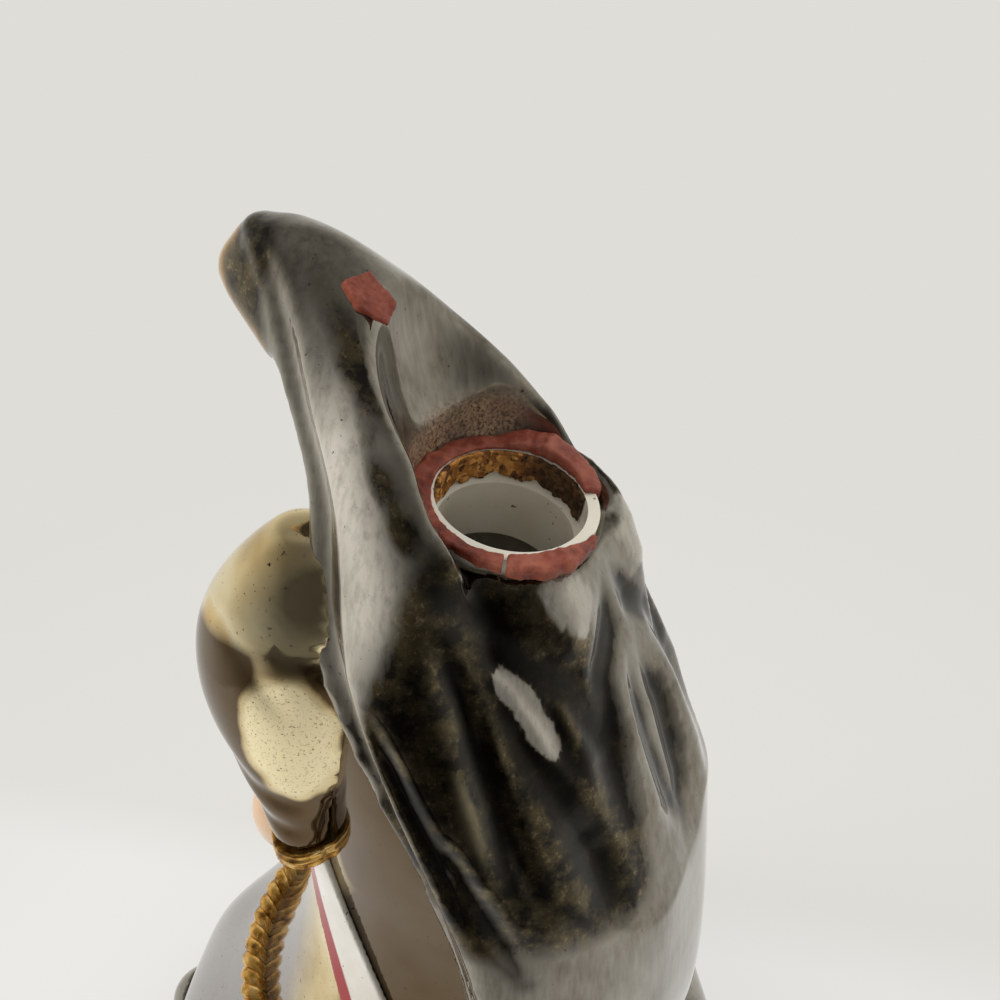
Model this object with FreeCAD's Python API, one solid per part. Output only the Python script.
import FreeCAD, Part
import math
import os

# Figural liquor decanter: a hooded, cloaked figure of slip-cast ceramic, its hollow robe being the bottle.
# Millimetres. The figure faces -Y, its left side is +X, and the table is z = 0 under the middle of the foot.

# Foot
felt_thickness = 1.5
plinth_height = 12.0
plinth_half_width = 75.0
plinth_half_depth = 77.0
plinth_wall = 6.0
plinth_chamfer = 2.0
hem_margin = 8.5

# Rises from one level of the figure to the next
hem_to_skirt = 28.5
skirt_to_hip = 30.0
hip_to_waist = 46.0
waist_to_elbow = 32.0
elbow_to_chest = 28.0
chest_to_shoulder = 21.0
shoulder_to_mouth = 16.0
mouth_to_brow = 15.0
brow_to_crown = 10.0
crown_to_peak = 15.0

# Robe, which is the bottle
robe_wall = 4.0
robe_floor = 5.0
hem_flare_x = 4.5
hem_flare_y = 5.0
shoulder_cap_rise = 6.0

# Pouring mouth, leaning back by its tilt
mouth_y = 21.0
mouth_tilt = 10.0
bore_radius = 11.5
neck_wall = 3.0
neck_reach_in = 1.0
lip_recess = 1.0
lip_recess_depth = 5.5
seat_depth = 2.0
seat_margin = 2.0
seat_side_margin = 5.0

# Sealing wax and cork left on the mouth
wax_height = 1.3
wax_width = 1.7
wax_start = 130.0
wax_sweep = 250.0
wax_crack = 6.0
wax_chunk_sweep = 62.0
crust_start = 125.0
crust_sweep = 160.0
crust_recess = 0.2
chip_length = 9.0
chip_width = 6.0
chip_thickness = 1.2
chip_x = 4.5
chip_y = 0.5
chip_lean = (0.25, 0.65, 0.72)
chip_corners = [(-1.0, -0.6), (0.4, -1.0), (1.0, -0.1), (0.6, 1.0), (-0.8, 0.7)]

# Hood opening and head
niche_half_width = 14.5
niche_half_depth = 10.0
niche_half_height = 23.0
niche_back_y = 0.0
niche_drop = 7.0
head_half_width = 10.5
head_half_depth = 7.8
head_half_height = 14.5
head_drop = 9.0
head_set_back = 2.5
throat_radius = 6.5

# Arms
cuff_height = 4.0
cuff_proud = 0.9
palm_half_width = 6.0
palm_half_depth = 7.0
palm_half_height = 10.0
palm_in_cuff = 3.0
hand_forward = 9.0
hand_inward = 4.0
finger_count = 4
finger_radius = 2.2
finger_spacing = 3.5
finger_length = 13.0
finger_way = (-0.55, -0.15, -0.8)
thumb_length = 9.0
thumb_way = (-0.55, -0.25, -0.8)

# Sash and rope
sash_thickness = 1.6
sash_width = 13.0
sash_drop_angle = 61.0
sash_start_x = 18.0
sash_y = -5.5
rope_radius = 3.2
rope_sink = 1.6
knot_half_width = 7.5
knot_half_depth = 6.4
knot_half_height = 6.0
tail_radius = 2.6
tail_length = 26.0
tassel_length = 13.0
tassel_radius = 4.6
tail_spread = 6.0
knot_turn = 40.0

# Shoes
shoe_half_width = 10.5
shoe_half_depth = 13.0
shoe_half_height = 9.5
shoe_spacing = 17.0
shoe_toe = 7.0
shoe_rise = 4.5

# Stopper, standing on its cap beside the foot
stopper_out = 6.0
stopper_y = -53.0
cork_clearance = 0.3
cork_length = 20.0
cork_taper = 0.8
cap_radius = 15.0
cap_height = 11.0
cap_edge = 2.5
pin_radius = 2.5
pin_depth_in_cork = 8.0
pin_depth_in_cap = 6.0

V = FreeCAD.Vector

# Levels, worked out from the rises
hem_z = felt_thickness + plinth_height
skirt_z = hem_z + hem_to_skirt
hip_z = skirt_z + skirt_to_hip
waist_z = hip_z + hip_to_waist
elbow_z = waist_z + waist_to_elbow
chest_z = elbow_z + elbow_to_chest
shoulder_z = chest_z + chest_to_shoulder
mouth_z = shoulder_z + shoulder_to_mouth
brow_z = mouth_z + mouth_to_brow
crown_z = brow_z + brow_to_crown
peak_z = crown_z + crown_to_peak
shoulder_cap_z = shoulder_z + shoulder_cap_rise

# The hip is round, so the rope lies on it as a plain ring
hip_y = 4.0
hip_radius = 45.0

# The hem stands in from the foot's edge all round, and flares out from the skirt
hem_half_width = plinth_half_width - hem_margin
hem_half_depth = plinth_half_depth - hem_margin
skirt_half_width = hem_half_width - hem_flare_x
skirt_half_depth = hem_half_depth - hem_flare_y

# Robe: height, middle y, half width, half depth
robe_levels = [
    (hem_z, -2.0, hem_half_width, hem_half_depth),
    (skirt_z, -3.0, skirt_half_width, skirt_half_depth),
    (hip_z, hip_y, hip_radius, hip_radius),
    (waist_z, 12.0, 30.5, 36.0),
    (elbow_z, 15.0, 30.0, 36.0),
    (chest_z, 15.0, 28.5, 30.0),
    (shoulder_z, 16.0, 24.0, 22.0),
    (shoulder_cap_z, 17.0, 19.5, 18.0),
]

# The cloak leans on the robe from hem to hip: its rim and low flanks tucked in, its back standing proud
hem_rim_tuck = 1.5
hem_flank_tuck = 2.5
hem_back_proud = 5.5
skirt_rim_tuck = 3.0
skirt_flank_tuck = 2.5
skirt_back_proud = 4.0
hip_rim_tuck = 3.5
hip_flank_proud = 1.0
hip_back_proud = 8.5
hem_rim_x = hem_half_width - hem_rim_tuck
hem_flank_x = hem_half_width - hem_flank_tuck
hem_back_y = robe_levels[0][1] + hem_half_depth + hem_back_proud
skirt_rim_x = skirt_half_width - skirt_rim_tuck
skirt_flank_x = skirt_half_width - skirt_flank_tuck
skirt_back_y = robe_levels[1][1] + skirt_half_depth + skirt_back_proud
hip_rim_x = hip_radius - hip_rim_tuck
hip_flank_x = hip_radius + hip_flank_proud
hip_back_y = hip_y + hip_radius + hip_back_proud

# Rises of the cloak's collar and tip above the mouth and the crown
collar_rise = 2.0
tip_rise = 10.0

# Cloak: height, rim x, rim y, flank x, flank y, back y, front y
cloak_levels = [
    (hem_z, hem_rim_x, 24.0, hem_flank_x, 37.0, hem_back_y, 24.0),
    (skirt_z, skirt_rim_x, 26.0, skirt_flank_x, 37.0, skirt_back_y, 26.0),
    (hip_z, hip_rim_x, 28.0, hip_flank_x, 39.0, hip_back_y, 28.0),
    (waist_z, 34.0, 26.0, 40.5, 39.0, 62.0, 26.0),
    (elbow_z, 33.0, 18.0, 39.0, 33.0, 58.6, 18.0),
    (chest_z, 31.0, 5.0, 37.0, 23.0, 52.7, 5.0),
    (shoulder_z, 27.0, -3.0, 33.0, 14.0, 44.2, -3.5),
    (mouth_z + collar_rise, 21.5, -4.0, 27.0, 9.0, 37.0, -5.5),
    (brow_z, 17.0, -7.0, 21.5, 3.0, 25.0, -13.0),
    (crown_z, 12.5, -11.0, 16.0, -3.0, 11.0, -26.0),
    (crown_z + tip_rise, 6.5, -17.0, 8.5, -12.0, -2.0, -28.0),
    (peak_z, 2.5, -22.5, 3.0, -20.5, -17.0, -25.5),
]

# Hollow of the rolled edge beside the rim, and roundness of the back between flank and middle
rim_hollow = 1.2
back_share_x = 0.55
back_share_y = 0.82
oval_points = 12

# Rises of the sleeve's fullest part, its shoulder and its tip, and the drop to its cuff
cuff_drop = 8.0
forearm_rise = 16.0
arm_rise = 8.0
sleeve_shoulder_rise = 5.0
sleeve_tip_rise = 15.0
cuff_z = elbow_z - cuff_drop

# Sleeve: height, middle x, middle y, half width, half depth
sleeve_levels = [
    (cuff_z, 21.5, -14.0, 9.5, 9.5),
    (elbow_z, 21.0, -14.0, 10.5, 11.5),
    (elbow_z + forearm_rise, 20.5, -14.0, 11.5, 15.5),
    (chest_z + arm_rise, 20.0, -13.0, 11.5, 17.0),
    (shoulder_z + sleeve_shoulder_rise, 19.0, -9.0, 9.5, 12.0),
    (shoulder_z + sleeve_tip_rise, 18.0, -6.0, 4.0, 5.0),
]

mouth_place = FreeCAD.Placement(V(0, mouth_y, mouth_z), FreeCAD.Rotation(V(1, 0, 0), -mouth_tilt))
neck_outer_radius = bore_radius + neck_wall
lip_radius = bore_radius + lip_recess
reach = plinth_half_width + plinth_half_depth


def oval(z, middle_x, middle_y, half_width, half_depth):
    """Horizontal oval wire, drawn as one closed curve from the middle of the back."""
    turns = [index / oval_points for index in range(oval_points + 1)]
    angles = [2 * math.pi * (turn + 0.25) for turn in turns[:-1]]
    points = [V(middle_x + half_width * math.cos(a), middle_y + half_depth * math.sin(a), z) for a in angles]
    curve = Part.BSplineCurve()
    curve.interpolate(Points=points, PeriodicFlag=True, Parameters=turns)
    return Part.Wire(curve.toShape())


def smooth_loft(wires):
    """Solid through horizontal outlines, on cubic curves."""
    return Part.makeLoft(wires, True, False, False, 3)


def ellipsoid(middle, half_x, half_y, half_z):
    """Ball stretched to its three half sizes."""
    scale = FreeCAD.Matrix()
    scale.scale(half_x, half_y, half_z)
    ball = Part.makeSphere(1.0).transformGeometry(scale)
    ball.translate(middle)
    return ball


def turned(points, start=0.0, sweep=360.0):
    """Solid turned about Z from (radius, height) points."""
    corners = [V(radius, 0, height) for radius, height in points]
    face = Part.Face(Part.makePolygon(corners + corners[:1]))
    solid = face.revolve(V(0, 0, 0), V(0, 0, 1), sweep)
    solid.rotate(V(0, 0, 0), V(0, 0, 1), start)
    return solid


def at_mouth(shape):
    """Shape made about the middle of the lip, put in its place."""
    placed = shape.copy()
    placed.Placement = mouth_place.multiply(placed.Placement)
    return placed


def cut_all(shape, others):
    """Shape less each of the others."""
    for other in others:
        shape = shape.cut(other)
    return shape


def unmoved(shape):
    """A piece of the figure's left side, as it was made."""
    return shape


def mirrored(shape):
    """The same piece on the figure's right side."""
    return shape.mirror(V(0, 0, 0), V(1, 0, 0))


def robe_form(grow):
    """Closed form of the robe, its levels grown by an amount."""
    wires = []
    for z, middle_y, half_width, half_depth in robe_levels:
        wires.append(oval(z, 0, middle_y, half_width + grow, half_depth + grow))
    return smooth_loft(wires)


def robe_cavity():
    """Room for the liquor: the robe shrunk by its wall, with a floor and a ceiling."""
    inner = robe_form(-robe_wall)
    room_height = shoulder_cap_z - robe_wall - hem_z - robe_floor
    room = Part.makeBox(2 * reach, 2 * reach, room_height, V(-reach, -reach, hem_z + robe_floor))
    return inner.common(room)


def cloak_section(z, rim_x, rim_y, flank_x, flank_y, back_y, front_y):
    """Horizontal outline of the cloak: from one rim round the back to the other, closed across the front."""
    hollow_x = (rim_x + flank_x) / 2 - rim_hollow
    hollow_y = (rim_y + flank_y) / 2
    round_x = flank_x * back_share_x
    round_y = flank_y + (back_y - flank_y) * back_share_y
    left = [(rim_x, rim_y), (hollow_x, hollow_y), (flank_x, flank_y), (round_x, round_y)]
    right = [(-x, y) for x, y in reversed(left)]
    round_points = [V(x, y, z) for x, y in left + [(0, back_y)] + right]
    count = len(round_points) - 1
    back = Part.BSplineCurve()
    back.interpolate(Points=round_points, Parameters=[index / count for index in range(count + 1)])
    front = Part.BSplineCurve()
    front_points = [V(-rim_x, rim_y, z), V(0, front_y, z), V(rim_x, rim_y, z)]
    front.interpolate(Points=front_points, Parameters=[0, 0.5, 1])
    return Part.Wire([back.toShape(), front.toShape()])


def hood_niche():
    """Hollow of the hood in front of the head."""
    middle = V(0, niche_back_y - niche_half_depth, brow_z - niche_drop)
    return ellipsoid(middle, niche_half_width, niche_half_depth, niche_half_height)


def mouth_seat():
    """Shallow seat behind the peak that the mouth stands in, open to the back."""
    half_width = neck_outer_radius + seat_side_margin
    half_depth = neck_outer_radius + seat_margin
    height = peak_z - mouth_z + seat_depth
    round_end = Part.Face(oval(-seat_depth, 0, 0, half_width, half_depth)).extrude(V(0, 0, height))
    way_out = Part.makeBox(2 * half_width, 3 * half_depth, height, V(-half_width, 0, -seat_depth))
    return at_mouth(round_end.fuse(way_out))


def neck_length():
    """From the lip down into the bottle, past its ceiling."""
    ceiling_z = shoulder_cap_z - robe_wall
    return (mouth_z - ceiling_z) / math.cos(math.radians(mouth_tilt)) + neck_wall + neck_reach_in


def neck_space():
    """What the collar takes out of the castings round it."""
    length = neck_length()
    return at_mouth(Part.makeCylinder(neck_outer_radius, length, V(0, 0, -length)))


def pour_neck():
    """Cream collar with the bore, recessed at the lip where the cork sealed."""
    length = neck_length()
    return at_mouth(turned([
        (bore_radius, -length),
        (neck_outer_radius, -length),
        (neck_outer_radius, 0),
        (lip_radius, 0),
        (lip_radius, -lip_recess_depth),
        (bore_radius, -lip_recess_depth - lip_recess),
    ]))


def cork_crust():
    """Cork left stuck in the recess of the lip."""
    inner_radius = bore_radius + crust_recess
    return at_mouth(turned([
        (inner_radius, -lip_recess_depth - lip_recess + crust_recess),
        (lip_radius, -lip_recess_depth),
        (lip_radius, 0),
        (inner_radius, 0),
    ], crust_start, crust_sweep))


def wax_seal():
    """Sealing wax broken open: the ring and a chunk that cracked away from it, on the lip and the seat."""
    outer = neck_outer_radius + wax_width
    profile = [
        (lip_radius, 0),
        (lip_radius, wax_height),
        (outer - wax_width / 2, wax_height),
        (outer, wax_height - wax_width / 2),
        (outer, -seat_depth),
        (neck_outer_radius, -seat_depth),
        (neck_outer_radius, 0),
    ]
    ring = turned(profile, wax_start, wax_sweep)
    chunk = turned(profile, wax_start + wax_sweep + wax_crack, wax_chunk_sweep)
    return Part.makeCompound([at_mouth(ring), at_mouth(chunk)])


def wax_chip(cloak):
    """Five-sided chip of wax stuck on the hood above the mouth."""
    half_length = chip_length / 2
    half_width = chip_width / 2
    corners = [V(half_width * share_x, half_length * share_y, 0) for share_x, share_y in chip_corners]
    plumb = Part.makeLine(V(chip_x, chip_y, mouth_z), V(chip_x, chip_y, peak_z))
    surface_z = plumb.common(cloak).BoundBox.ZMax
    flake = Part.Face(Part.makePolygon(corners + corners[:1])).extrude(V(0, 0, -4 * chip_thickness))
    flake.translate(V(0, 0, chip_thickness))
    lean = FreeCAD.Rotation(V(0, 0, 1), V(*chip_lean))
    flake.Placement = FreeCAD.Placement(V(chip_x, chip_y, surface_z), lean).multiply(flake.Placement)
    return flake.cut(cloak)


def head(cloak, robe):
    """Head in the hood, on its neck."""
    middle = V(0, niche_back_y + head_set_back - head_half_depth, brow_z - head_drop)
    skull = ellipsoid(middle, head_half_width, head_half_depth, head_half_height)
    throat_foot = V(0, middle.y + head_set_back, shoulder_z)
    throat = Part.makeCylinder(throat_radius, middle.z - shoulder_z, throat_foot)
    return cut_all(skull.fuse(throat), [cloak, robe])


def sleeve_form():
    """Full left sleeve, from the shoulder to its cuff."""
    return smooth_loft([oval(*level) for level in sleeve_levels])


def cuff_form():
    """Gold edge round the end of the left sleeve."""
    z, middle_x, middle_y, half_width, half_depth = sleeve_levels[0]
    size = (middle_x, middle_y, half_width + cuff_proud, half_depth + cuff_proud)
    return smooth_loft([oval(z - cuff_height, *size), oval(z, *size)])


def finger(root, way, length):
    """Rounded finger from its root."""
    bone = Part.makeCylinder(finger_radius, length, root, way)
    tip = root + way.normalize() * length
    return bone.fuse(Part.makeSphere(finger_radius, tip)).fuse(Part.makeSphere(finger_radius, root))


def hand_form():
    """Left hand resting on the hip below its cuff: palm, four fingers and a thumb."""
    _, middle_x, middle_y, _, _ = sleeve_levels[0]
    wrist_z = cuff_z - cuff_height
    palm = V(middle_x - hand_inward, middle_y - hand_forward, wrist_z - palm_half_height + palm_in_cuff)
    solid = ellipsoid(palm, palm_half_width, palm_half_depth, palm_half_height)
    for index in range(finger_count):
        root_y = (index - (finger_count - 1) / 2) * finger_spacing
        root = palm + V(0, root_y, -palm_half_height / 2)
        solid = solid.fuse(finger(root, V(*finger_way), finger_length))
    thumb_root = palm + V(-palm_half_width / 2, -palm_half_depth / 2, 0)
    solid = solid.fuse(finger(thumb_root, V(*thumb_way), thumb_length))
    below = Part.makeBox(2 * reach, 2 * reach, wrist_z, V(-reach, -reach, 0))
    return solid.common(below)


def sash_form():
    """White band on the left of the robe, dropping from under the sleeve in line with the cloak's edge."""
    slab = Part.makeBox(reach, 2 * reach, sash_width, V(sash_start_x, -reach, -sash_width / 2))
    slab.rotate(V(0, 0, 0), V(1, 0, 0), -sash_drop_angle)
    slab.translate(V(0, sash_y, waist_z))
    return robe_form(sash_thickness).common(slab)


def rope_belt(cloak, robe):
    """Rope lying on the hips, its ends under the cloak's edges."""
    ring = Part.makeTorus(hip_radius + rope_radius - rope_sink, rope_radius, V(0, hip_y, hip_z))
    return cut_all(ring, [cloak, robe])


def at_knot(shape):
    """Shape made at the front of the hips, turned to the figure's right, where the rope is tied."""
    placed = shape.copy()
    placed.rotate(V(0, hip_y, 0), V(0, 0, 1), -knot_turn)
    return placed


def belt_knot(robe, rope):
    """Knot of the rope."""
    middle = V(0, hip_y - hip_radius - rope_radius, hip_z)
    form = ellipsoid(middle, knot_half_width, knot_half_depth, knot_half_height)
    return cut_all(at_knot(form), [robe, rope])


def tail_form():
    """Left hanging end of the rope, on the slope of the skirt, with its tassel."""
    start = V(tail_spread / 2, hip_y - hip_radius - rope_radius, hip_z)
    foot = V(tail_spread * 3 / 2, robe_levels[1][1] - skirt_half_depth - rope_radius, skirt_z)
    way = (foot - start).normalize()
    cord = Part.makeCylinder(tail_radius, tail_length, start, way)
    tassel = Part.makeCone(tail_radius, tassel_radius, tassel_length, start + way * tail_length, way)
    return cord.fuse(tassel)


def shoe_form():
    """Left shoe: its toe shows under the hem."""
    middle_y = robe_levels[0][1] - hem_half_depth - shoe_toe + shoe_half_depth
    middle = V(shoe_spacing, middle_y, hem_z + shoe_rise)
    toe = ellipsoid(middle, shoe_half_width, shoe_half_depth, shoe_half_height)
    above = Part.makeBox(2 * reach, 2 * reach, reach, V(-reach, -reach, hem_z))
    return toe.common(above)


def one_side(placed, cloak, robe, rope, knot):
    """Pieces of one side of the figure, each less what it lies against."""
    sleeve = cut_all(placed(sleeve_form()), [cloak, robe])
    cuff = cut_all(placed(cuff_form()), [cloak, robe])
    hand = cut_all(placed(hand_form()), [cloak, robe])
    return {
        "sleeve": sleeve,
        "cuff": cuff,
        "hand": hand,
        "sash": cut_all(placed(sash_form()), [robe, cloak, rope, sleeve, cuff, hand]),
        "rope_tail": cut_all(at_knot(placed(tail_form())), [robe, rope, knot]),
        "shoe": placed(shoe_form()).cut(robe),
    }


def plinth():
    """Hollow foot, chamfered at its upper edge and open below."""
    top = plinth_height - plinth_chamfer
    outer = [
        oval(felt_thickness, 0, 0, plinth_half_width, plinth_half_depth),
        oval(felt_thickness + top, 0, 0, plinth_half_width, plinth_half_depth),
        oval(hem_z, 0, 0, plinth_half_width - plinth_chamfer, plinth_half_depth - plinth_chamfer),
    ]
    hollow = oval(felt_thickness, 0, 0, plinth_half_width - plinth_wall, plinth_half_depth - plinth_wall)
    room = Part.Face(hollow).extrude(V(0, 0, plinth_height - plinth_wall))
    return Part.makeLoft(outer, True, True).cut(room)


def felt():
    """Pad glued under the foot."""
    return Part.Face(oval(0, 0, 0, plinth_half_width, plinth_half_depth)).extrude(V(0, 0, felt_thickness))


def stopper():
    """Cap, cork and the dowel that joins them, standing on the cap."""
    place = V(-plinth_half_width - stopper_out, stopper_y, 0)
    cork_radius = bore_radius - cork_clearance
    cork_top = cap_height + cork_length
    cap = turned([
        (0, 0),
        (cap_radius - cap_edge, 0),
        (cap_radius, cap_edge),
        (cap_radius, cap_height - cap_edge),
        (cap_radius - cap_edge, cap_height),
        (0, cap_height),
    ])
    cork = turned([
        (0, cap_height),
        (cork_radius, cap_height),
        (cork_radius - cork_taper, cork_top),
        (0, cork_top),
    ])
    pin_length = pin_depth_in_cap + pin_depth_in_cork
    pin = Part.makeCylinder(pin_radius, pin_length, V(0, 0, cap_height - pin_depth_in_cap))
    pieces = {"stopper_cap": cap.cut(pin), "stopper_cork": cork.cut(pin), "stopper_pin": pin}
    for shape in pieces.values():
        shape.translate(place)
    return pieces


def build():
    """All the pieces, by name."""
    robe_solid = robe_form(0)
    neck_room = neck_space()
    cloak_solid = smooth_loft([cloak_section(*level) for level in cloak_levels])
    cloak = cut_all(cloak_solid, [robe_solid, hood_niche(), mouth_seat(), neck_room])
    rope = rope_belt(cloak, robe_solid)
    knot = belt_knot(robe_solid, rope)
    pieces = {
        "felt_pad": felt(),
        "base_plinth": plinth(),
        "robe_bottle": cut_all(robe_solid, [robe_cavity(), neck_room]),
        "cloak_hood": cloak,
        "pour_neck": pour_neck(),
        "cork_crust": cork_crust(),
        "wax_seal": wax_seal(),
        "wax_chip": wax_chip(cloak),
        "head": head(cloak, robe_solid),
        "rope_belt": rope,
        "belt_knot": knot,
    }
    for side, placed in (("left", unmoved), ("right", mirrored)):
        for name, shape in one_side(placed, cloak, robe_solid, rope, knot).items():
            pieces[side + "_" + name] = shape
    pieces.update(stopper())
    return pieces


os.makedirs("parts", exist_ok=True)
for name, shape in build().items():
    shape.exportStep("parts/" + name + ".step")
    print(name, "valid" if shape.isValid() else "not valid", len(shape.Solids), round(shape.Volume))
